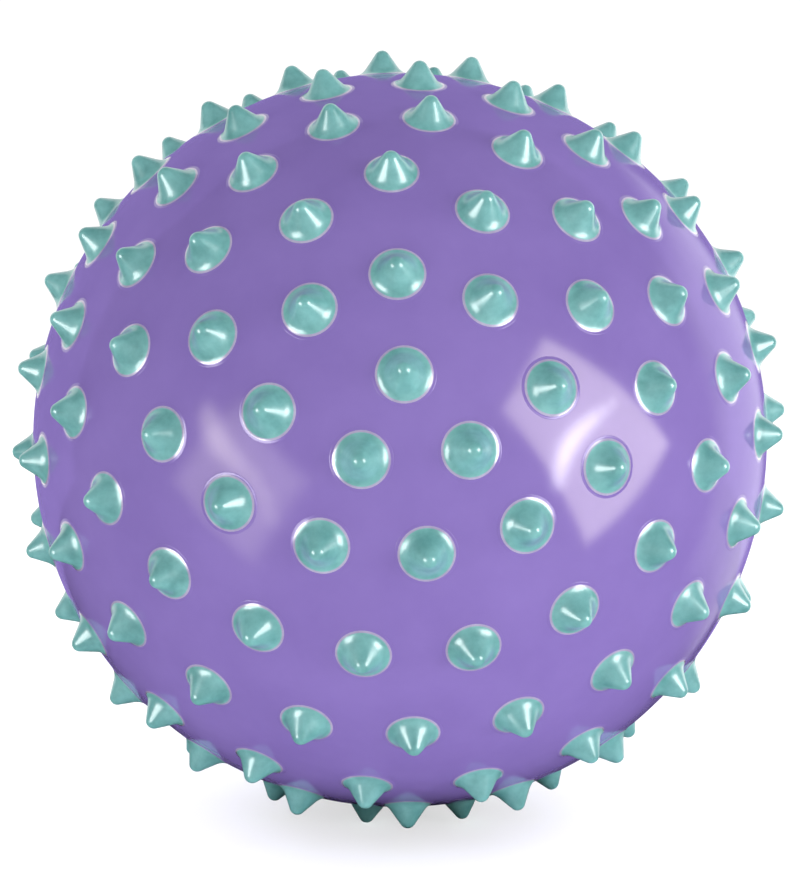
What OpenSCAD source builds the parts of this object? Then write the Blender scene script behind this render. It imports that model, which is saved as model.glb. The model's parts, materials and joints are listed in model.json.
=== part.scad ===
// Sensory ball: an air-filled vinyl skin covered in soft nubs, filled through a
// plugged valve. The origin is the centre of the ball, +Z is up, and the ball
// stands on its lowest nubs. The rings of nubs run round a leaning axis that
// has one nub at its front end and the valve at its back end.

/* [Ball] */
// Outer diameter of the skin between the nubs
ball_d = 170; // [150:1:220]
// Thickness of the skin
skin_t = 1.5; // [1.2:0.1:3]
// Angle that the front end of the ring axis leans forward from straight up
axis_lean = 62; // [45:1:80]
// Angle that the ring axis leans to the side
axis_roll = -0.8; // [-5:0.1:5]
// Longitude of the line about which the back half repeats the front half
half_turn_at = 2.5; // [0:0.5:10]

/* [Nubs] */
// Height of a nub over the skin
nub_h = 5.1; // [4:0.1:6]
// Diameter of a nub's foot where it meets the skin
nub_d = 10.6; // [10:0.1:13]
// Radius of a nub's rounded tip
nub_tip_r = 1.8; // [1.2:0.1:2]
// Radius of the hollow sweep from a nub's flank to its foot
nub_root_r = 5; // [4:0.1:6]
// Angle between the skin and the sweep at a nub's foot
nub_foot_slope = 24; // [18:1:32]
// Angle by which the front nub and the ones just below it sit low
low_shift = 3; // [0:0.5:4]

/* [Valve] */
// Outer diameter of the valve's neck, in the hole through the skin
neck_d = 14; // [13:0.5:18]
// Diameter of the dished flange that the neck carries inside the skin
flange_d = 26; // [22:1:30]
// Thickness of the dished flange
flange_t = 1.6; // [1.2:0.1:3]
// Outer diameter of the valve's tube
tube_d = 9; // [8:0.5:12]
// Depth of the tube's inner end under the top of the skin
tube_depth = 19; // [18:1:26]
// Diameter of the bore that takes the plug's stem
bore_d = 5; // [4:0.5:6]
// Radius of the fingernail scoop beside the plug's head
scoop_r = 1.5; // [1:0.1:1.6]

/* [Plug] */
// Diameter of the plug's head
head_d = 9.6; // [8:0.2:9.8]
// Thickness of the plug's head
head_t = 1.8; // [1.4:0.1:2.2]
// Length of the plug's stem under the head
stem_l = 14; // [12:0.5:16]
// Length of the taper at the stem's end
stem_taper_l = 2.5; // [1:0.5:4]
// Number of sealing grooves round the stem
groove_n = 3; // [1:1:4]
// Width of a sealing groove
groove_w = 1.2; // [0.8:0.1:1.5]
// Depth of a sealing groove
groove_depth = 0.4; // [0.2:0.1:0.6]

/* [Fits] */
// Radial clearance of the plug in the valve
plug_gap = 0.05; // [0.02:0.01:0.1]
// Film of glue between the skin and what is bonded to it
bond_gap = 0.03; // [0.01:0.01:0.1]

/* [Hidden] */

// Sides of a round piece, and of the large circles that outlines are cut with
$fn = 64;
arc_fn = 720;

// Rings of the front half, from the front nub to the middle of the ball:
// how many nubs each has, its angle from the ring axis, and the longitude of
// its first nub, clockwise from the top as seen from the front.
ring_counts = [6, 12, 17, 21, 23, 22];
ring_angles = [13.5, 26.5, 39.5, 54, 68.5, 84];
ring_starts = [-2.5, 10.5, 5.5, -2.5, 6.5, 5.5];
// How far the nubs at the sides of each ring crowd towards its top, as an angle
ring_crowds = [0, 0, 0, 2.2, 0, -1.2];
// Which nubs of each ring sit low, counted from its first nub, and the share of
// the low shift that they take
low_nubs = [[3], [5, 6], [], [], [], []];
low_shares = [1, 0.35, 0, 0, 0, 0];

// How far a cut runs past the piece that it cuts
overrun = 1;
// Radius of the taper's small end as a share of the stem's radius
taper_end_share = 0.6;
// Share of the tip's and root's radii that a nub's flank lies against, so that
// the straight flank crosses both circles
flank_share = 0.999;

ball_r = ball_d / 2;
inside_r = ball_r - skin_t;

// A nub's outline: a straight flank runs from the circle of the tip to the
// circle of the root, which meets the skin at the foot.
nub_r = nub_d / 2;
nub_seat_r = ball_r + bond_gap;
foot_z = sqrt(pow(nub_seat_r, 2) - pow(nub_r, 2));
foot_lean = nub_foot_slope + asin(nub_r / nub_seat_r);
tip_z = ball_r + nub_h - nub_tip_r;
root_x = nub_r + nub_root_r * sin(foot_lean);
root_z = foot_z + nub_root_r * cos(foot_lean);
tip_to_root = norm([root_x, root_z - tip_z]);
flank_tip_r = nub_tip_r * flank_share;
flank_root_r = nub_root_r * flank_share;
flank_fall = asin((flank_tip_r + flank_root_r) / tip_to_root) + atan2(tip_z - root_z, root_x);
flank_out = [sin(flank_fall), cos(flank_fall)];
flank_top = [0, tip_z] + flank_tip_r * flank_out;
flank_low = [root_x, root_z] - flank_root_r * flank_out;
nub_low_z = root_z - nub_root_r - overrun;

// The valve, measured out from the centre of the ball along its own axis.
neck_r = neck_d / 2;
flange_r = flange_d / 2;
tube_r = tube_d / 2;
hole_r = neck_r + bond_gap;
flange_top_r = inside_r - bond_gap;
flange_low_r = flange_top_r - flange_t;
tube_end_z = ball_r - tube_depth;
seat_z = ball_r - head_t;
head_r = head_d / 2;
recess_r = head_r + plug_gap;
bore_r = bore_d / 2;
stem_r = bore_r - plug_gap;
stem_end_z = seat_z - stem_l;
groove_pitch = (stem_l - stem_taper_l) / (groove_n + 1);

// Turns the ring axis from +Z to where it leans.
module leaning() {
    rotate([axis_lean, axis_roll, 0]) children();
}

// Puts a piece of the front half on the back half.
module back_half() {
    rotate(180, v = [sin(half_turn_at), cos(half_turn_at), 0]) children();
}

// Stands a piece that is drawn along +Z at the back end of the ring axis.
module at_valve() {
    leaning() rotate([180, 0, 0]) children();
}

// Half of a nub cut through its axis, before its foot is hollowed.
module nub_half() {
    difference() {
        polygon([
            [0, nub_low_z],
            [root_x, nub_low_z],
            [root_x, flank_low.y],
            flank_low,
            flank_top,
            [0, tip_z]
        ]);
        translate([root_x, root_z]) circle(r = nub_root_r);
    }
    intersection() {
        translate([0, tip_z]) circle(r = nub_tip_r);
        translate([0, nub_low_z]) square([root_x, tip_z + nub_h - nub_low_z]);
    }
}

// One nub on the +Z axis, hollowed at its foot to the curve of the skin.
module nub() {
    rotate_extrude() difference() {
        nub_half();
        circle(r = nub_seat_r, $fn = arc_fn);
    }
}

// A ring of nubs of the front half, each a solid of its own.
module nub_ring(ring) {
    for (i = [0 : ring_counts[ring] - 1]) {
        even = ring_starts[ring] + i * 360 / ring_counts[ring];
        around = even - ring_crowds[ring] * sin(even);
        low = low_shift * low_shares[ring] * len(search(i, low_nubs[ring]));
        rotate([-ring_angles[ring] - low, 0, -around]) nub();
    }
}

module front_ring(ring) {
    color("cadetblue") leaning() nub_ring(ring);
}

module back_ring(ring) {
    color("cadetblue") leaning() back_half() nub_ring(ring);
}

// The hollow skin, with the hole for the valve's neck.
module ball_skin() {
    color("mediumpurple") leaning() difference() {
        sphere(r = ball_r);
        sphere(r = inside_r);
        rotate([180, 0, 0]) cylinder(r = hole_r, h = ball_r + overrun);
    }
}

module nub_front() {
    color("cadetblue") leaning() rotate([low_shift, 0, 0]) nub();
}

module nub_ring_01() { front_ring(0); }
module nub_ring_02() { front_ring(1); }
module nub_ring_03() { front_ring(2); }
module nub_ring_04() { front_ring(3); }
module nub_ring_05() { front_ring(4); }
module nub_ring_06() { front_ring(5); }
module nub_ring_07() { back_ring(5); }
module nub_ring_08() { back_ring(4); }
module nub_ring_09() { back_ring(3); }
module nub_ring_10() { back_ring(2); }
module nub_ring_11() { back_ring(1); }
module nub_ring_12() { back_ring(0); }

// Half of the valve cut through its axis: the neck in the skin's hole, the
// dished flange under the skin, and the tube.
module valve_half() {
    intersection() {
        circle(r = ball_r, $fn = arc_fn);
        translate([0, flange_low_r]) square([neck_r, flange_t + skin_t + overrun]);
    }
    difference() {
        intersection() {
            circle(r = flange_top_r, $fn = arc_fn);
            square([flange_r, ball_r]);
        }
        circle(r = flange_low_r, $fn = arc_fn);
    }
    translate([0, tube_end_z]) square([tube_r, flange_low_r + flange_t / 2 - tube_end_z]);
}

// The valve, with the bore for the plug's stem, the recess for its head and a
// scoop for a fingernail at the edge of the recess.
module valve_body() {
    color("slateblue") at_valve() difference() {
        rotate_extrude() difference() {
            valve_half();
            translate([0, seat_z]) square([recess_r, head_t + overrun]);
            translate([0, tube_end_z - overrun]) square([bore_r, tube_depth + overrun]);
        }
        translate([0, recess_r, ball_r]) sphere(r = scoop_r);
    }
}

// Half of the plug's stem cut through its axis, with its taper.
module stem_half() {
    polygon([
        [0, stem_end_z],
        [stem_r * taper_end_share, stem_end_z],
        [stem_r, stem_end_z + stem_taper_l],
        [stem_r, seat_z + head_t / 2],
        [0, seat_z + head_t / 2]
    ]);
}

// The plug: a head flush with the skin, and a stem with sealing grooves.
module valve_plug() {
    color("indigo") at_valve() rotate_extrude() {
        intersection() {
            circle(r = ball_r, $fn = arc_fn);
            translate([0, seat_z]) square([head_r, head_t + overrun]);
        }
        difference() {
            stem_half();
            for (i = [1 : groove_n]) {
                translate([stem_r - groove_depth, seat_z - i * groove_pitch - groove_w / 2])
                    square([groove_depth + overrun, groove_w]);
            }
        }
    }
}

ball_skin();
nub_front();
nub_ring_01();
nub_ring_02();
nub_ring_03();
nub_ring_04();
nub_ring_05();
nub_ring_06();
nub_ring_07();
nub_ring_08();
nub_ring_09();
nub_ring_10();
nub_ring_11();
nub_ring_12();
valve_body();
valve_plug();
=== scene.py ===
# %% [markdown]
# # A vinyl sensory ball, piece by piece
#
# The object is an air-filled ball of glossy purple vinyl, covered in teal nubs
# that a child can grip, roll and squeeze. The solid model already exists, so the
# first step only loads it. Its box is kept, because the finished look must not
# grow out of it.

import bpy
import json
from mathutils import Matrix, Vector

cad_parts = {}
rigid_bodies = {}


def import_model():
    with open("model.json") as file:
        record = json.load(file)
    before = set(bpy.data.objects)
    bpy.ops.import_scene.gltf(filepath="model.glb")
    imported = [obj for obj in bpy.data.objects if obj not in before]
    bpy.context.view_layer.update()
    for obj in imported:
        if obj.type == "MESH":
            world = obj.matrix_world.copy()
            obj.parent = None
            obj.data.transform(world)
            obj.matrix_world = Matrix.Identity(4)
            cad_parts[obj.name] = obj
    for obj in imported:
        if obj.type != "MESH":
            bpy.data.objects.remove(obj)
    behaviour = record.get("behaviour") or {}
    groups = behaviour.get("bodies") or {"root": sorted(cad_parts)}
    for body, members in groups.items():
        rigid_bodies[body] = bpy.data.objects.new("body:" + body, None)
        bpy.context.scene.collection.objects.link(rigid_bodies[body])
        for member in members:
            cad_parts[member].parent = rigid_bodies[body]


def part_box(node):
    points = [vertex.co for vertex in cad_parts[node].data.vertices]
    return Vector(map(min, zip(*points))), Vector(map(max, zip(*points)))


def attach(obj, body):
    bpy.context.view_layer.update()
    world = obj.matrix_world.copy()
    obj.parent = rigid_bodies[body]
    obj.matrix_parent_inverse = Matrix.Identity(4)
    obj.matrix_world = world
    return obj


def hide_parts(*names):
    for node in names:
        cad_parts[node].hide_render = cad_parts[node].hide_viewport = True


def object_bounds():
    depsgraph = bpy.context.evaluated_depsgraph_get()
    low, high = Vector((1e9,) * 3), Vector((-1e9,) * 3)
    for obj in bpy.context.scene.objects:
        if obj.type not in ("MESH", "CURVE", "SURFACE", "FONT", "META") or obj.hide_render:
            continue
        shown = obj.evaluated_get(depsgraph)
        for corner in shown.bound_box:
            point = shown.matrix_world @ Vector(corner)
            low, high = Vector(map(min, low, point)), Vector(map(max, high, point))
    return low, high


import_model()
cad_box = [list(corner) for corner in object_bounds()]
print("solid model, lowest and highest corner:", cad_box)

# %% [markdown]
# ## Sizes
#
# Everything is in metres and in the frame of the solid model: the centre of the
# ball is the origin and +Z is up. The sizes are the maker's sizes, written once.
# The rings of nubs run round an axis that leans towards the viewer, with one nub
# at its front end and the valve at its back end.

# %% Name the sizes
import json
import math
import random

import bpy
import numpy as np
from mathutils import Matrix, Vector

MM = 0.001
BALL_R = 85 * MM
SKIN_T = 1.5 * MM
AXIS_LEAN = math.radians(62)
AXIS_ROLL = math.radians(-0.8)
floor_z = cad_box[0][2]
print("ball radius", BALL_R, "floor height", round(floor_z, 5))

# %% [markdown]
# ## The leaning axis
#
# Each piece is drawn upright, with the ring axis along +Z, and then turned into
# place by one matrix. That keeps the drawing simple: a lathe always turns round
# +Z. The valve is drawn pointing up as well, and a half turn puts it at the back.

# %% Turn upright pieces into place
lean = Matrix.Rotation(AXIS_ROLL, 4, "Y") @ Matrix.Rotation(AXIS_LEAN, 4, "X")
to_valve = lean @ Matrix.Rotation(math.pi, 4, "X")
front_end = lean @ Vector((0, 0, 1))
print("the ring axis points to", [round(c, 3) for c in front_end])

# %% [markdown]
# ## A lathe
#
# The skin, the nubs, the valve and its plug are all round, so one helper makes
# them all. It takes an outline as pairs of radius and height, from the top down,
# and turns it in steps. A modifier could do this too, but points computed here
# can be copied two hundred times and given materials band by band.


# %% Write the lathe
ON_AXIS = 1e-9


def turn_outline(outline, steps, closed=False):
    """Points and faces of an outline turned round +Z, and each face's band."""
    points, faces, bands = [], [], []
    rows = []
    for radius, height in outline:
        if radius < ON_AXIS:
            rows.append([len(points)])
            points.append((0.0, 0.0, height))
            continue
        rows.append(list(range(len(points), len(points) + steps)))
        for step in range(steps):
            angle = 2 * math.pi * step / steps
            points.append((radius * math.cos(angle), radius * math.sin(angle), height))
    pairs = list(zip(rows, rows[1:]))
    if closed:
        pairs.append((rows[-1], rows[0]))
    for band, (upper, lower) in enumerate(pairs):
        for step in range(steps):
            after = (step + 1) % steps
            if len(upper) == 1:
                faces.append((upper[0], lower[step], lower[after]))
            elif len(lower) == 1:
                faces.append((upper[step], lower[0], upper[after]))
            else:
                faces.append((upper[step], lower[step], lower[after], upper[after]))
            bands.append(band)
    return np.array(points), faces, bands


def make_piece(name, points, faces, materials, face_material=None):
    """A smooth-shaded mesh object from points and faces."""
    mesh = bpy.data.meshes.new(name)
    mesh.from_pydata([tuple(p) for p in points], [], faces)
    for material in materials:
        mesh.materials.append(material)
    if face_material is not None:
        mesh.polygons.foreach_set("material_index", face_material)
    mesh.polygons.foreach_set("use_smooth", [True] * len(mesh.polygons))
    mesh.update()
    piece = bpy.data.objects.new(name, mesh)
    bpy.context.scene.collection.objects.link(piece)
    return piece


def moved(points, matrix):
    """Points turned and shifted by a matrix."""
    m = np.array(matrix)
    return points @ m[:3, :3].T + m[:3, 3]


print("lathe ready")

# %% [markdown]
# ## Glossy vinyl
#
# Soft vinyl is never one flat colour. The pigment clouds a little, the surface
# has a fine orange peel from the mould, and it waves gently because the skin is
# blown out by air. The helper below builds all vinyl finishes from the same three
# noises: clouds for the colour, a broad wave and a fine peel for the bump, and a
# slow drift for the roughness. All noises read object coordinates, which every
# piece shares here, so a pattern runs on from one piece to the next.


# %% Make a vinyl finish
CLOUDS_PER_M, CLOUD_DETAIL, CLOUD_ROUGHNESS = 42, 4, 0.6
DRIFT_PER_M, DRIFT_DETAIL = 70, 3
WAVES_PER_M, WAVE_DETAIL, WAVE_STRENGTH = 38, 1, 1.0
PEEL_PER_M, PEEL_DETAIL, PEEL_STRENGTH = 1400, 2, 0.5
DEEP_AT, MID_AT, PALE_AT = 0.3, 0.5, 0.72
DRIFT_FROM, DRIFT_TO = 0.3, 0.7
LACQUER_ROUGHNESS = 0.17


def linear(red, green, blue):
    """A matched colour, 0 to 255, as the linear colour a shader wants."""
    shares = [c / 255 for c in (red, green, blue)]
    return [c / 12.92 if c <= 0.04045 else ((c + 0.055) / 1.055) ** 2.4 for c in shares] + [1.0]


def noise_field(nodes, links, coords, per_metre, detail, roughness=0.5):
    """A noise of so many waves a metre."""
    noise = nodes.new("ShaderNodeTexNoise")
    noise.inputs["Scale"].default_value = per_metre
    noise.inputs["Detail"].default_value = detail
    noise.inputs["Roughness"].default_value = roughness
    links.new(coords.outputs["Object"], noise.inputs["Vector"])
    return noise.outputs["Fac"]


def bump_layer(nodes, links, height, depth, strength, below=None):
    """A bump of a height field, on top of another bump."""
    bump = nodes.new("ShaderNodeBump")
    bump.inputs["Distance"].default_value = depth
    bump.inputs["Strength"].default_value = strength
    links.new(height, bump.inputs["Height"])
    if below is not None:
        links.new(below, bump.inputs["Normal"])
    return bump.outputs["Normal"]


def vinyl(name, deep, mid, pale, gloss, wave, peel, specular=0.5, lacquer=0.0,
          cloud=CLOUDS_PER_M):
    """A vinyl that clouds from a deep to a pale colour, with a roughness range."""
    material = bpy.data.materials.new(name)
    material.use_nodes = True
    nodes, links = material.node_tree.nodes, material.node_tree.links
    shader = nodes["Principled BSDF"]
    shader.inputs["Specular IOR Level"].default_value = specular
    shader.inputs["Coat Weight"].default_value = lacquer
    shader.inputs["Coat Roughness"].default_value = LACQUER_ROUGHNESS
    coords = nodes.new("ShaderNodeTexCoord")

    clouds = noise_field(nodes, links, coords, cloud, CLOUD_DETAIL, CLOUD_ROUGHNESS)
    tint = nodes.new("ShaderNodeValToRGB")
    tint.color_ramp.elements[0].position = DEEP_AT
    tint.color_ramp.elements[0].color = deep
    tint.color_ramp.elements[1].position = PALE_AT
    tint.color_ramp.elements[1].color = pale
    middle = tint.color_ramp.elements.new(MID_AT)
    middle.color = mid
    links.new(clouds, tint.inputs["Fac"])
    links.new(tint.outputs["Color"], shader.inputs["Base Color"])

    drift = noise_field(nodes, links, coords, DRIFT_PER_M, DRIFT_DETAIL)
    shine = nodes.new("ShaderNodeMapRange")
    shine.inputs["From Min"].default_value = DRIFT_FROM
    shine.inputs["From Max"].default_value = DRIFT_TO
    shine.inputs["To Min"].default_value = gloss[0]
    shine.inputs["To Max"].default_value = gloss[1]
    links.new(drift, shine.inputs["Value"])
    links.new(shine.outputs["Result"], shader.inputs["Roughness"])

    swell = noise_field(nodes, links, coords, WAVES_PER_M, WAVE_DETAIL)
    broad = bump_layer(nodes, links, swell, wave, WAVE_STRENGTH)
    grain = noise_field(nodes, links, coords, PEEL_PER_M, PEEL_DETAIL)
    fine = bump_layer(nodes, links, grain, peel, PEEL_STRENGTH, broad)
    links.new(fine, shader.inputs["Normal"])
    links.new(fine, shader.inputs["Coat Normal"])
    return material


print("vinyl recipe ready")

# %% [markdown]
# ## The colours
#
# The ball is a cool lilac purple and the nubs a bluish teal. Where the teal ends
# there is a hair-thin pale line at the edge of the sprayed colour; its pale tone is
# partly a painted highlight on the fillet at each nub's foot. The valve is the
# skin's own purple, a little duller because hands and pumps rub it. The nubs have a
# clear lacquer over a broad sheen, and their colour clouds more finely, because the
# spray breaks into small drops.

# %% Mix the finishes
SPRAY_PER_M = 240
skin_vinyl = vinyl(
    "skin_vinyl", linear(126, 105, 173), linear(130, 109, 177), linear(134, 113, 181),
    gloss=(0.09, 0.13), wave=0.10 * MM, peel=0.003 * MM)
nub_vinyl = vinyl(
    "nub_vinyl", linear(92, 157, 155), linear(111, 175, 173), linear(127, 190, 188),
    gloss=(0.28, 0.36), wave=0.08 * MM, peel=0.006 * MM, specular=0.9, lacquer=0.6,
    cloud=SPRAY_PER_M)
# The pale line at the foot of each nub: its light tone is partly a painted highlight on the
# fillet.
pale_edge_painted_highlight = vinyl(
    "pale_edge_painted_highlight", linear(160, 150, 184), linear(172, 163, 194), linear(186, 180, 206),
    gloss=(0.15, 0.22), wave=0.1 * MM, peel=0.006 * MM, specular=1.0, lacquer=1.0,
    cloud=SPRAY_PER_M)
valve_vinyl = vinyl(
    "valve_vinyl", linear(112, 92, 164), linear(118, 98, 170), linear(126, 106, 178),
    gloss=(0.3, 0.42), wave=0.1 * MM, peel=0.02 * MM)
plug_vinyl = vinyl(
    "plug_vinyl", linear(104, 84, 156), linear(110, 90, 162), linear(118, 98, 170),
    gloss=(0.32, 0.45), wave=0.08 * MM, peel=0.02 * MM)
print("finishes:", [m.name for m in (skin_vinyl, nub_vinyl, pale_edge_painted_highlight, valve_vinyl, plug_vinyl)])

# %% [markdown]
# ## The skin
#
# The skin is one hollow ball with a round hole at the back for the valve. A
# ready-made sphere has no hole and no wall, so the lathe turns an outline that
# goes from the front end round to the hole, over a small rounded edge and back
# along the inside of the wall. The steps are close enough for the outline of the
# ball to look round at arm's length.

# %% Turn the skin
NECK_R = 7 * MM
BOND_GAP = 0.03 * MM
HOLE_EDGE_R = 0.35 * MM
SKIN_ROWS = 180
SKIN_STEPS = 288
INSIDE_ROWS = 90
EDGE_ROWS = 5
EDGE_FROM = 0.3

hole_r = NECK_R + BOND_GAP
hole_angle = math.pi - math.asin((hole_r + HOLE_EDGE_R) / BALL_R)
inside_r = BALL_R - SKIN_T
skin_outline = [
    (BALL_R * math.sin(a), BALL_R * math.cos(a))
    for a in np.linspace(0, hole_angle, SKIN_ROWS)]
rim_height = -math.sqrt((BALL_R - HOLE_EDGE_R) ** 2 - (hole_r + HOLE_EDGE_R) ** 2)
skin_outline += [
    (hole_r + HOLE_EDGE_R * (1 - math.sin(a)), rim_height - HOLE_EDGE_R * math.cos(a))
    for a in np.linspace(EDGE_FROM, math.pi / 2, EDGE_ROWS)]
skin_outline += [
    (inside_r * math.sin(a), inside_r * math.cos(a))
    for a in np.linspace(math.pi - math.asin(hole_r / inside_r), 0, INSIDE_ROWS)]
points, faces, _ = turn_outline(skin_outline, SKIN_STEPS)
skin = make_piece("skin", moved(points, lean), faces, [skin_vinyl])
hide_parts("ball_skin")
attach(skin, "ball")
print("skin:", len(skin.data.polygons), "faces")

# %% [markdown]
# ## One nub
#
# A nub is a blunt bell: a small round tip, a straight flank, a wide hollow sweep,
# and a tighter hollow that runs out flat onto the skin. In outline these are
# three circles and one straight line, each touching the next without a corner,
# so a glint slides over the nub without a break. The tip and the sweep are the
# solid model's. The last hollow is a fillet, which the mould needs so that the
# soft vinyl comes out without tearing.
#
# The flank touches the tip from outside and the sweep from its hollow side. The
# fillet touches the sweep from inside, which puts its middle on the line from the
# sweep's middle, and touches the ball. Both conditions give an angle directly.

# %% Draw the outline of a nub
NUB_H = 5.1 * MM
NUB_FOOT_R = 5.3 * MM
NUB_TIP_R = 1.8 * MM
NUB_ROOT_R = 5.0 * MM
NUB_FOOT_SLOPE = math.radians(24)
FILLET_R = 3.0 * MM
TEAL_R = 5.1 * MM
EDGE_W = 0.42 * MM
FILM = 0.01 * MM
UNDER = 0.15 * MM
CURVE_ROWS = 8
FILLET_ROWS = 5
TEAL, PALE_EDGE, PURPLE = 0, 1, 2


def toward(angle):
    """A step of length one, leaning out from straight up by an angle."""
    return Vector((math.sin(angle), math.cos(angle)))


def nub_outline():
    """Radius and height from the tip to under the skin, and the finish of each band."""
    lean_at_foot = NUB_FOOT_SLOPE + math.asin(NUB_FOOT_R / BALL_R)
    foot = Vector((NUB_FOOT_R, math.sqrt(BALL_R ** 2 - NUB_FOOT_R ** 2)))
    root = foot + NUB_ROOT_R * toward(lean_at_foot)
    tip = Vector((0, BALL_R + NUB_H - NUB_TIP_R))
    fall = (math.asin((NUB_TIP_R + NUB_ROOT_R) / (root - tip).length)
            + math.atan2(tip.y - root.y, root.x))

    seat = BALL_R + FILM
    shift = NUB_ROOT_R - FILLET_R
    meet = math.atan2(root.x, root.y) + math.acos(
        (root.length_squared + shift ** 2 - (seat + FILLET_R) ** 2) / (2 * shift * root.length))
    fillet = root - shift * toward(meet)
    flat = math.atan2(fillet.x, fillet.y)
    teal_end, edge_end = (
        math.asin((fillet.x - r) / FILLET_R) for r in (TEAL_R, TEAL_R + EDGE_W))

    path = [tip + NUB_TIP_R * toward(a) for a in np.linspace(0, fall, CURVE_ROWS)]
    path += [root - NUB_ROOT_R * toward(a) for a in np.linspace(fall, meet, CURVE_ROWS)]
    teal_part = np.linspace(meet, teal_end, FILLET_ROWS)[1:]
    purple_part = np.linspace(edge_end, flat, FILLET_ROWS)[1:]
    path += [fillet - FILLET_R * toward(a) for a in teal_part]
    finishes = [TEAL] * (len(path) - 1)
    # The pale band between teal and purple, whose light tone is partly a painted highlight.
    path += [fillet - FILLET_R * toward(edge_end)]
    finishes += [PALE_EDGE]
    path += [fillet - FILLET_R * toward(a) for a in purple_part]
    path += [path[-1] + Vector((UNDER, -UNDER))]
    path += [Vector((0, path[-1].y))]
    finishes += [PURPLE] * (len(path) - 1 - len(finishes))
    return [(max(p.x, 0), p.y) for p in path], finishes


outline, outline_finishes = nub_outline()
print("nub outline:", len(outline), "points, it ends at radius",
      round(outline[-3][0] / MM, 2), "mm")

# %% [markdown]
# ## Where the nubs stand
#
# The nubs stand in rings round the leaning axis, more of them the wider the ring.
# The two halves of the ball come from the same mould, so the back half is the
# front half given a half turn about a line across the middle. A mould maker spaces
# the pockets by hand: the front nub and the ones just below it sit a little low,
# and two of the rings crowd a little towards their top or bottom. The numbers are
# the same as in the solid model, and the boxes of the solids are used to prove it.

# %% Place the nubs
RING_COUNTS = [6, 12, 17, 21, 23, 22]
RING_ANGLES = [13.5, 26.5, 39.5, 54, 68.5, 84]
RING_STARTS = [-2.5, 10.5, 5.5, -2.5, 6.5, 5.5]
RING_CROWDS = [0, 0, 0, 2.2, 0, -1.2]
LOW_SHIFT = 3
LOW_SHARES = [1, 0.35, 0, 0, 0, 0]
LOW_NUBS = [[3], [5, 6], [], [], [], []]
HALF_TURN_AT = math.radians(2.5)
half_turn = Matrix.Rotation(
    math.pi, 4, Vector((math.sin(HALF_TURN_AT), math.cos(HALF_TURN_AT), 0)))


def ring_turns(ring):
    """One matrix for each nub of a ring of the front half."""
    turns = []
    for i in range(RING_COUNTS[ring]):
        even = RING_STARTS[ring] + i * 360 / RING_COUNTS[ring]
        around = even - RING_CROWDS[ring] * math.sin(math.radians(even))
        low = LOW_SHIFT * LOW_SHARES[ring] if i in LOW_NUBS[ring] else 0
        turns.append(
            Matrix.Rotation(math.radians(-around), 4, "Z")
            @ Matrix.Rotation(math.radians(-RING_ANGLES[ring] - low), 4, "X"))
    return turns


nub_turns = {"nub_front": [lean @ Matrix.Rotation(math.radians(LOW_SHIFT), 4, "X")]}
for ring in range(len(RING_COUNTS)):
    nub_turns[f"nub_ring_{ring + 1:02d}"] = [lean @ t for t in ring_turns(ring)]
    nub_turns[f"nub_ring_{2 * len(RING_COUNTS) - ring:02d}"] = [
        lean @ half_turn @ t for t in ring_turns(ring)]
worst = 0
for node, turns in nub_turns.items():
    tips = np.array([t @ Vector((0, 0, BALL_R + NUB_H)) for t in turns])
    low, high = (np.array(c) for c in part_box(node))
    outside = max((low - tips.min(0)).max(), (tips.max(0) - high).max())
    worst = max(worst, outside)
print("nubs:", sum(len(t) for t in nub_turns.values()),
      "- furthest tip outside its solid's box, mm:", round(worst / MM, 3))

# %% [markdown]
# ## Moulded nubs are not all alike
#
# Hot vinyl shrinks a little differently in each pocket of the mould. So every
# copy leans a hair to one side and is a touch slimmer or fuller. The lean grows
# with height, so the foot stays where it is. A fixed seed gives the same ball
# every time.

# %% Turn the nubs, ring by ring
NUB_STEPS = 36
TIP_LEAN = 0.22 * MM
LEAN_CURVE = 1.5
FULLER_BY = 0.03
SEED = 61
rng = random.Random(SEED)
nub_points, nub_faces, nub_bands = turn_outline(outline, NUB_STEPS)
nub_face_material = [outline_finishes[band] for band in nub_bands]
height_share = np.clip((nub_points[:, 2] - BALL_R) / NUB_H, 0, 1)


def one_nub(turn):
    """The points of one nub, with its own small faults, in place."""
    own = nub_points.copy()
    side = rng.uniform(0, 2 * math.pi)
    amount = TIP_LEAN * math.sqrt(rng.random())
    fuller = 1 + rng.uniform(-FULLER_BY, FULLER_BY) * np.sin(math.pi * height_share)
    own[:, 0] = own[:, 0] * fuller + amount * math.cos(side) * height_share ** LEAN_CURVE
    own[:, 1] = own[:, 1] * fuller + amount * math.sin(side) * height_share ** LEAN_CURVE
    return moved(own, turn)


for node, turns in nub_turns.items():
    points = np.concatenate([one_nub(t) for t in turns])
    faces, face_material = [], []
    for copy in range(len(turns)):
        start = copy * len(nub_points)
        faces += [tuple(start + corner for corner in face) for face in nub_faces]
        face_material += nub_face_material
    nubs = make_piece(
        node.replace("nub_", "nubs_"), points, faces,
        [nub_vinyl, pale_edge_painted_highlight, skin_vinyl], face_material)
    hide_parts(node)
    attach(nubs, "ball")
    print(nubs.name, len(turns), "nubs")

# %% [markdown]
# ## The valve
#
# An air-filled ball needs a way in for the pump. The valve is a vinyl insert: a
# neck that fills the hole in the skin, a dished flange glued to the inside, and a
# tube with a bore. Its outline is closed, so the lathe joins its last row to its
# first. The edges that a finger meets are rounded. A small sphere is cut out of
# the recess's edge, so that a fingernail can get under the plug.

# %% Turn the valve
FLANGE_R = 13 * MM
FLANGE_T = 1.6 * MM
TUBE_R = 4.5 * MM
TUBE_DEPTH = 19 * MM
BORE_R = 2.5 * MM
SCOOP_R = 1.5 * MM
SCOOP_STEPS = 32
HEAD_R = 4.8 * MM
HEAD_T = 1.8 * MM
PLUG_GAP = 0.05 * MM
EDGE_R = 0.3 * MM
FINE_EDGE_R = 0.15 * MM
CORNER_SHARE = 0.45
VALVE_STEPS = 96


def on_ball(radius, ball_r):
    """Height of a ball's surface at a distance from its axis."""
    return math.sqrt(ball_r ** 2 - radius ** 2)


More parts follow.
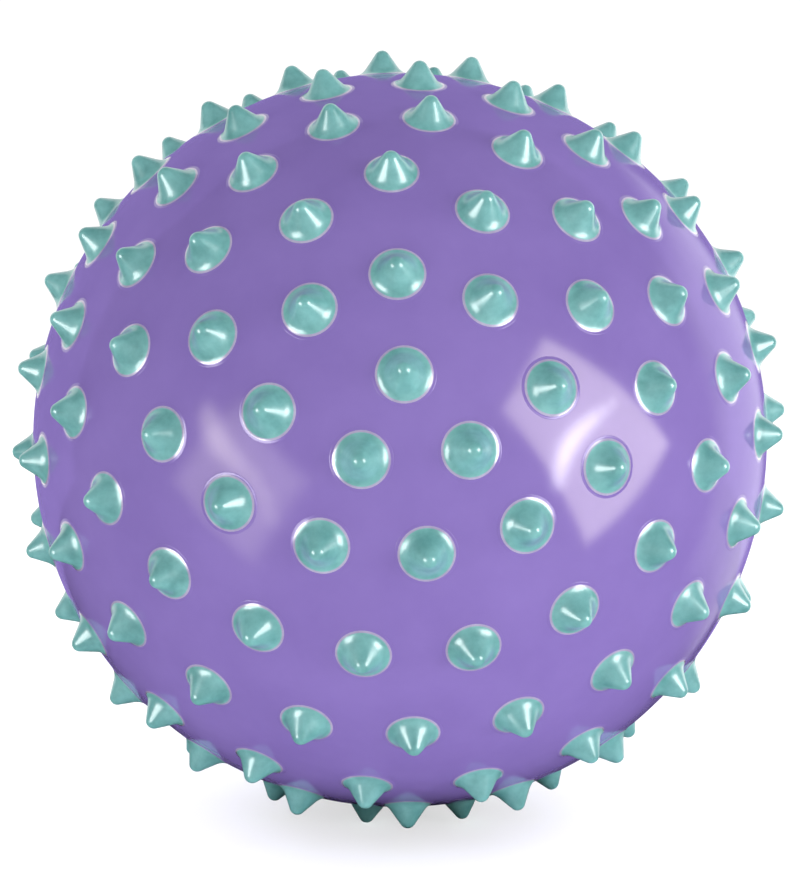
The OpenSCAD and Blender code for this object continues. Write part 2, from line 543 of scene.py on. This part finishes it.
def rounded(outline, radii, bits=4):
    """The outline with its corners rounded, each by its own radius."""
    made = []
    count = len(outline)
    for i, radius in enumerate(radii):
        here = Vector(outline[i])
        before, after = Vector(outline[i - 1]), Vector(outline[(i + 1) % count])
        if radius == 0:
            made.append(tuple(here))
            continue
        a, b = (before - here), (after - here)
        reach = min(radius, CORNER_SHARE * a.length, CORNER_SHARE * b.length)
        start, end = here + a.normalized() * reach, here + b.normalized() * reach
        for s in np.linspace(0, 1, bits):
            made.append(tuple((1 - s) ** 2 * start + 2 * s * (1 - s) * here + s ** 2 * end))
    return made


seat_z = BALL_R - HEAD_T
recess_r = HEAD_R + PLUG_GAP
flange_top = BALL_R - SKIN_T - BOND_GAP
flange_low = flange_top - FLANGE_T
tube_end = BALL_R - TUBE_DEPTH
valve_outline = rounded(
    [
        (recess_r, on_ball(recess_r, BALL_R)), (NECK_R, on_ball(NECK_R, BALL_R)),
        (NECK_R, on_ball(NECK_R, flange_top)), (FLANGE_R, on_ball(FLANGE_R, flange_top)),
        (FLANGE_R, on_ball(FLANGE_R, flange_low)), (TUBE_R, on_ball(TUBE_R, flange_low)),
        (TUBE_R, tube_end), (BORE_R, tube_end), (BORE_R, seat_z), (recess_r, seat_z),
    ],
    [EDGE_R, EDGE_R, 0, EDGE_R, EDGE_R, EDGE_R, EDGE_R, EDGE_R, FINE_EDGE_R, 0])
points, faces, _ = turn_outline(valve_outline, VALVE_STEPS, closed=True)
valve = make_piece("valve", points, [face[::-1] for face in faces], [valve_vinyl])
bpy.ops.mesh.primitive_uv_sphere_add(
    segments=SCOOP_STEPS, ring_count=SCOOP_STEPS // 2, radius=SCOOP_R,
    location=(0, recess_r, BALL_R))
scoop = bpy.context.active_object
cut = valve.modifiers.new("scoop", "BOOLEAN")
cut.operation = "DIFFERENCE"
cut.object = scoop
bpy.context.view_layer.objects.active = valve
bpy.ops.object.modifier_apply(modifier=cut.name)
bpy.data.objects.remove(scoop)
valve.data.transform(to_valve)
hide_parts("valve_body")
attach(valve, "ball")
print("valve:", len(valve.data.polygons), "faces")

# %% [markdown]
# ## The plug
#
# The plug closes the valve. Its head lies flush in the recess, and grooves round
# its stem leave ribs that seal against the bore. It rides on its own body,
# because it pulls out along the valve's axis.

# %% Turn the plug
STEM_L = 14 * MM
STEM_TAPER_L = 2.5 * MM
TAPER_END_SHARE = 0.6
GROOVE_N = 3
GROOVE_W = 1.2 * MM
GROOVE_DEPTH = 0.4 * MM
DOME_SHARES = (0, 0.2, 0.4, 0.6, 0.8)
PLUG_STEPS = 72

stem_r = BORE_R - PLUG_GAP
stem_end = seat_z - STEM_L
pitch = (STEM_L - STEM_TAPER_L) / (GROOVE_N + 1)
corners = [(HEAD_R * s, on_ball(HEAD_R * s, BALL_R)) for s in DOME_SHARES]
radii = [0] * len(corners)
corners += [(HEAD_R, on_ball(HEAD_R, BALL_R)), (HEAD_R, seat_z), (stem_r, seat_z)]
radii += [EDGE_R, FINE_EDGE_R, 0]
for i in range(1, GROOVE_N + 1):
    middle = seat_z - i * pitch
    corners += [
        (stem_r, middle + GROOVE_W / 2), (stem_r - GROOVE_DEPTH, middle + GROOVE_W / 2),
        (stem_r - GROOVE_DEPTH, middle - GROOVE_W / 2), (stem_r, middle - GROOVE_W / 2)]
    radii += [FINE_EDGE_R] * 4
corners += [(stem_r, stem_end + STEM_TAPER_L), (stem_r * TAPER_END_SHARE, stem_end), (0, stem_end)]
radii += [EDGE_R, EDGE_R, 0]
points, faces, _ = turn_outline(rounded(corners, radii), PLUG_STEPS)
plug = make_piece("plug", moved(points, to_valve), faces, [plug_vinyl])
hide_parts("valve_plug")
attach(plug, "plug")
print("plug:", len(plug.data.polygons), "faces")

# %% [markdown]
# ## The camera
#
# The camera looks from just above the middle of the ball and stands close, so
# the rim of the ball is nearer than half way round. How much of a ball a picture
# shows tells how far away the camera stood: here 4.6 times the ball's radius. The
# lens then follows from the size of the ball in the picture.

# %% Set the camera
PICTURE_W, PICTURE_H = 800, 880
BALL_PIXELS = 367
CAMERA_RADII = 4.6
CAMERA_RISE = math.radians(3.24)
SENSOR_W = 36
NEAREST = 0.01

focal_pixels = BALL_PIXELS * math.sqrt(CAMERA_RADII ** 2 - 1)
eye = CAMERA_RADII * BALL_R * Vector((0, -math.cos(CAMERA_RISE), math.sin(CAMERA_RISE)))
camera_data = bpy.data.cameras.new("camera")
camera_data.sensor_width = SENSOR_W
camera_data.lens = camera_data.sensor_width * focal_pixels / PICTURE_H
camera_data.clip_start = NEAREST
camera = bpy.data.objects.new("camera", camera_data)
bpy.context.scene.collection.objects.link(camera)
camera.location = eye
camera.rotation_euler = (-eye).to_track_quat("-Z", "Y").to_euler()
bpy.context.scene.camera = camera
print("lens", round(camera_data.lens, 1), "mm at", round(eye.length, 3), "m")

# %% [markdown]
# ## Where the lamps stand
#
# A glossy ball is a map of its studio: each glint shows a lamp. Follow the line
# of sight to the glint, mirror it at the ball, and the lamp lies somewhere along
# the mirrored line. The helper does that for a place in the picture, so the two
# soft boxes and the white board at the right can be put where they belong.


# %% Find a lamp from its glint
LAMP_DISTANCE = 0.7
WHITE = (1, 1, 1)


def glint_line(x, y):
    """The point of the ball seen at a place in the picture, and the mirrored direction."""
    sight = camera.rotation_euler.to_matrix() @ Vector(
        (x - PICTURE_W / 2, PICTURE_H / 2 - y, -focal_pixels)).normalized()
    near = eye.dot(sight)
    touch = eye + sight * (-near - math.sqrt(near ** 2 - eye.length_squared + BALL_R ** 2))
    return touch, sight.reflect(touch.normalized())


def lamp(name, shape, size, radiance, colour=WHITE):
    """An area lamp of an even brightness, given as radiance."""
    data = bpy.data.lights.new(name, "AREA")
    data.shape = shape
    data.size, data.size_y = size
    data.energy = radiance * math.pi * size[0] * size[1]
    data.color = colour
    made = bpy.data.objects.new(name, data)
    bpy.context.scene.collection.objects.link(made)
    return made


def aim(made, place, at, turn=0, tip=0):
    """Stand a lamp at a place, facing a point, turned about its beam and tipped back."""
    made.location = place
    facing = (Vector(at) - Vector(place)).to_track_quat("-Z", "Y").to_matrix()
    facing = facing @ Matrix.Rotation(math.radians(turn), 3, "Z")
    made.rotation_euler = (facing @ Matrix.Rotation(math.radians(tip), 3, "X")).to_euler()


def glint_lamp(name, glint, shape, size, turn, radiance, distance=LAMP_DISTANCE,
               colour=WHITE, tip=0):
    """A lamp for the mirror of the vinyl alone, whose glint lands at a place in the picture."""
    touch, away = glint_line(*glint)
    made = lamp(name, shape, size, radiance, colour)
    aim(made, touch + away * distance, touch, turn, tip)
    made.visible_diffuse = False
    print(name, "at", [round(c, 2) for c in made.location], "m")
    return made


print("lamp helpers ready")

# %% [markdown]
# ## Soft edges on a lamp
#
# A real soft box is brighter where the bulb sits and fades to its sides. A lamp in
# Blender can do the same with a few nodes, which read where on its face the light
# leaves and measure how far that is from the middle. A round lamp measures along
# its radius, a square one along its nearer side.


# %% Fade a lamp
FACE_MIDDLE = 0.5


def fade(made, full, is_round):
    """Fade a lamp from a share of the way out to its rim."""
    made.data.use_nodes = True
    nodes, links = made.data.node_tree.nodes, made.data.node_tree.links
    face = nodes.new("ShaderNodeNewGeometry")
    middle = nodes.new("ShaderNodeVectorMath")
    middle.operation = "SUBTRACT"
    middle.inputs[1].default_value = (FACE_MIDDLE, FACE_MIDDLE, 0)
    links.new(face.outputs["Parametric"], middle.inputs[0])
    if is_round:
        away = nodes.new("ShaderNodeVectorMath")
        away.operation = "LENGTH"
        links.new(middle.outputs["Vector"], away.inputs[0])
        measure = away.outputs["Value"]
    else:
        sides = nodes.new("ShaderNodeVectorMath")
        sides.operation = "ABSOLUTE"
        links.new(middle.outputs["Vector"], sides.inputs[0])
        parts = nodes.new("ShaderNodeSeparateXYZ")
        links.new(sides.outputs["Vector"], parts.inputs["Vector"])
        nearer = nodes.new("ShaderNodeMath")
        nearer.operation = "MAXIMUM"
        links.new(parts.outputs["X"], nearer.inputs[0])
        links.new(parts.outputs["Y"], nearer.inputs[1])
        measure = nearer.outputs["Value"]
    ramp = nodes.new("ShaderNodeMapRange")
    ramp.interpolation_type = "SMOOTHSTEP"
    ramp.inputs["From Min"].default_value = FACE_MIDDLE
    ramp.inputs["From Max"].default_value = full * FACE_MIDDLE
    links.new(measure, ramp.inputs["Value"])
    links.new(ramp.outputs["Result"], nodes["Emission"].inputs["Strength"])


print("fading lamps ready")

# %% [markdown]
# ## Light for the skin and light for the nubs
#
# The big patches on the skin are the two soft boxes, and the bright strokes across
# them are their tubes. A tube is a chain of small round lamps along a curve, so
# that its glint can bend and fade. The nubs get boxes of their own at the same
# places, because their many small glints are as bright on the left as on the right.
# Each lamp is linked to the pieces that it is for.


# %% Light the ball
def only_for(made, name, pieces):
    """Let a lamp light these pieces and no others."""
    group = bpy.data.collections.new(name)
    for piece in pieces:
        group.objects.link(piece)
    made.light_linking.receiver_collection = group
    return group


WARM = (1.0, 0.93, 0.74)
TUBE_DISTANCE, TUBE_FULL = 0.66, 0.0
BOX_TURN = 45
BOX_TIP = 24
# Boxes: name, place of the glint in the picture, size, radiance, tip, full share
SKIN_BOXES = (
    ("right_box", (578, 421), (0.45, 0.75), 6.2, BOX_TIP, 0.85),
    ("left_box", (238, 483), (0.50, 0.50), 2.4, 0, 0.6))
# Tubes: place of the glint in the picture, size and radiance, lamp by lamp
RIGHT_TUBE = (
    (613, 403, 0.06, 4), (604, 410, 0.07, 6), (594, 418, 0.09, 9), (584, 427, 0.10, 11),
    (574, 438, 0.11, 12), (566, 451, 0.12, 11), (561, 466, 0.11, 9), (558, 481, 0.10, 6))
LEFT_TUBE = (
    (207, 412, 0.12, 2.0), (211, 426, 0.15, 3.0), (217, 440, 0.15, 3.2), (227, 453, 0.14, 3.0),
    (239, 465, 0.13, 2.6), (253, 478, 0.12, 2.2), (264, 496, 0.12, 2.0), (270, 516, 0.12, 1.6))
BOARD_GLINT, BOARD_SIZE, BOARD_RADIANCE = (743, 400), (0.9, 1.3), 0.75
BOARD_DISTANCE, BOARD_FULL = 0.9, 0.5
NUB_BOXES = (("right_nub_box", (581, 434)), ("left_nub_box", (230, 470)))
NUB_BOX_SIZE, NUB_BOX_RADIANCE, NUB_BOX_FULL = (0.40, 0.58), 9.0, 0.6

nub_pieces = [o for o in bpy.context.scene.objects if o.name.startswith("nubs_")]
skin_lamps, nub_lamps = [], []
for name, glint, size, radiance, tip, full in SKIN_BOXES:
    box = glint_lamp(name, glint, "RECTANGLE", size, BOX_TURN, radiance, colour=WARM, tip=tip)
    fade(box, full, False)
    skin_lamps.append(box)
for side, lamps_along, colour in (("right", RIGHT_TUBE, WHITE), ("left", LEFT_TUBE, WARM)):
    for x, y, size, radiance in lamps_along:
        tube = glint_lamp(
            f"{side}_tube_{x}", (x, y), "DISK", (size, size), 0, radiance, TUBE_DISTANCE, colour)
        fade(tube, TUBE_FULL, True)
        skin_lamps.append(tube)
board = glint_lamp(
    "right_board", BOARD_GLINT, "RECTANGLE", BOARD_SIZE, 0, BOARD_RADIANCE, BOARD_DISTANCE)
fade(board, BOARD_FULL, False)
for name, glint in NUB_BOXES:
    box = glint_lamp(name, glint, "RECTANGLE", NUB_BOX_SIZE, BOX_TURN, NUB_BOX_RADIANCE)
    fade(box, NUB_BOX_FULL, False)
    nub_lamps.append(box)
print("lamps for the skin:", len(skin_lamps), "- for the nubs:", len(nub_lamps))

# %% [markdown]
# ## Boards behind the ball
#
# At its rim a glossy ball mirrors what stands behind it. A lilac board keeps the
# rim of the skin as purple as its middle, and a white one draws the pale edges of
# the nubs. A last lamp from the right fills the colour of that side a little, and
# leaves no glint.

# %% Stand boards behind the ball
BACK_SIZE = (4.0, 2.4)
BACK_BEHIND, BACK_HEIGHT = 0.9, 0.9
LILAC, LILAC_RADIANCE = (0.5, 0.36, 1.0), 0.5
WHITE_RADIANCE = 0.9
FILL_SIZE, FILL_PLACE, FILL_RADIANCE = (1.0, 1.0), (1.5, -0.8, 0.0), 4.2

for name, radiance, colour, lamps in (
        ("lilac_board", LILAC_RADIANCE, LILAC, skin_lamps),
        ("white_board", WHITE_RADIANCE, WHITE, nub_lamps)):
    board = lamp(name, "RECTANGLE", BACK_SIZE, radiance, colour)
    aim(board, (0, BACK_BEHIND, BACK_HEIGHT), (0, 0, BACK_HEIGHT))
    board.visible_diffuse = False
    lamps.append(board)
for made in skin_lamps:
    only_for(made, made.name + "_for", [skin])
for made in nub_lamps:
    only_for(made, made.name + "_for", nub_pieces)
fill = lamp("fill", "RECTANGLE", FILL_SIZE, FILL_RADIANCE)
aim(fill, FILL_PLACE, (0, 0, 0))
fill.visible_glossy = False
print("boards and fill in place")

# %% [markdown]
# ## Floor and surroundings
#
# The ball stands on a plain white floor in a bright white room. The room lights
# the ball evenly from all sides. In the mirror of the vinyl it would wash out the
# purple at the rim, so the room and the floor are left out of reflections, and only
# the lamps and the boards show there. The room is greyer overhead, because the light
# comes from the sides. A lamp for the floor alone keeps the paper white, and the ball
# leaves only the room's own soft shadow on it.

# %% Make the floor and the room
FLOOR_HALF = 4.0
PAPER_GRAIN_PER_M = 300
PAPER_DARK, PAPER_LIGHT = (0.93, 0.93, 0.93, 1), (0.96, 0.96, 0.96, 1)
PAPER_ROUGHNESS, PAPER_SPECULAR = 0.9, 0.1
FLOOR_LIGHT = 1.8
GREY_FROM, GREY_TO = 0.25, 0.9
ROOM_WHITE, ROOM_GREY = (1, 1, 1, 1), (0.7, 0.7, 0.7, 1)
EXPOSURE = 0.1

floor_material = bpy.data.materials.new("floor_paper")
floor_material.use_nodes = True
nodes, links = floor_material.node_tree.nodes, floor_material.node_tree.links
paper = nodes["Principled BSDF"]
paper.inputs["Roughness"].default_value = PAPER_ROUGHNESS
paper.inputs["Specular IOR Level"].default_value = PAPER_SPECULAR
grain = nodes.new("ShaderNodeTexNoise")
grain.inputs["Scale"].default_value = PAPER_GRAIN_PER_M
fibre = nodes.new("ShaderNodeValToRGB")
fibre.color_ramp.elements[0].color = PAPER_DARK
fibre.color_ramp.elements[1].color = PAPER_LIGHT
links.new(grain.outputs["Fac"], fibre.inputs["Fac"])
links.new(fibre.outputs["Color"], paper.inputs["Base Color"])
floor = make_piece(
    "floor",
    [(-FLOOR_HALF, -FLOOR_HALF, floor_z), (FLOOR_HALF, -FLOOR_HALF, floor_z),
     (FLOOR_HALF, FLOOR_HALF, floor_z), (-FLOOR_HALF, FLOOR_HALF, floor_z)],
    [(0, 1, 2, 3)], [floor_material])
floor.visible_glossy = False

floor_lamp = bpy.data.objects.new("floor_lamp", bpy.data.lights.new("floor_lamp", "SUN"))
floor_lamp.data.energy = FLOOR_LIGHT
bpy.context.scene.collection.objects.link(floor_lamp)
floor_lamp.visible_glossy = False
floor_lamp.light_linking.blocker_collection = only_for(floor_lamp, "floor_lamp_for", [floor])

room = bpy.data.worlds.new("room")
room.use_nodes = True
nodes, links = room.node_tree.nodes, room.node_tree.links
heading = nodes.new("ShaderNodeTexCoord")
heading_parts = nodes.new("ShaderNodeSeparateXYZ")
links.new(heading.outputs["Generated"], heading_parts.inputs["Vector"])
ceiling = nodes.new("ShaderNodeValToRGB")
ceiling.color_ramp.elements[0].position = GREY_FROM
ceiling.color_ramp.elements[0].color = ROOM_WHITE
ceiling.color_ramp.elements[1].position = GREY_TO
ceiling.color_ramp.elements[1].color = ROOM_GREY
links.new(heading_parts.outputs["Z"], ceiling.inputs["Fac"])
links.new(ceiling.outputs["Color"], nodes["Background"].inputs["Color"])
nodes["Background"].inputs["Strength"].default_value = 1.0
room.cycles_visibility.glossy = False
bpy.context.scene.world = room
bpy.context.scene.view_settings.view_transform = "Standard"
bpy.context.scene.view_settings.exposure = EXPOSURE
print("floor at", round(floor_z, 4))

# %% [markdown]
# ## A dark card under the ball
#
# Where a ball touches the floor hardly any light gets in, so its lowest nubs turn
# dark green. White paper throws too much light up there. Photographers lay a small
# black card under the object for this. It works on one side only: from below it is
# clear, so it leaves no shadow on the paper, and the camera does not see it.

# %% Lay the dark card
CARD_R = 45 * MM
CARD_LIFT = 0.2 * MM
CARD_STEPS = 48
CARD_BLACK = (0.01, 0.015, 0.015, 1)

card_material = bpy.data.materials.new("black_card")
card_material.use_nodes = True
nodes, links = card_material.node_tree.nodes, card_material.node_tree.links
black = nodes["Principled BSDF"]
black.inputs["Base Color"].default_value = CARD_BLACK
clear = nodes.new("ShaderNodeBsdfTransparent")
card_side = nodes.new("ShaderNodeNewGeometry")
one_sided = nodes.new("ShaderNodeMixShader")
links.new(card_side.outputs["Backfacing"], one_sided.inputs[0])
links.new(black.outputs["BSDF"], one_sided.inputs[1])
links.new(clear.outputs["BSDF"], one_sided.inputs[2])
links.new(one_sided.outputs["Shader"], nodes["Material Output"].inputs["Surface"])
card_angles = [2 * math.pi * step / CARD_STEPS for step in range(CARD_STEPS)]
card = make_piece(
    "card",
    [(CARD_R * math.cos(a), CARD_R * math.sin(a), floor_z + CARD_LIFT) for a in card_angles],
    [tuple(range(CARD_STEPS))], [card_material])
card.visible_camera = False
card.visible_glossy = False
print("card of radius", CARD_R, "m")

# %% [markdown]
# ## The size of the solid model
#
# The dressed ball must keep the size of the solid model, whose box is printed here.

# %% Print the solid model's box
print("solid box", cad_box)
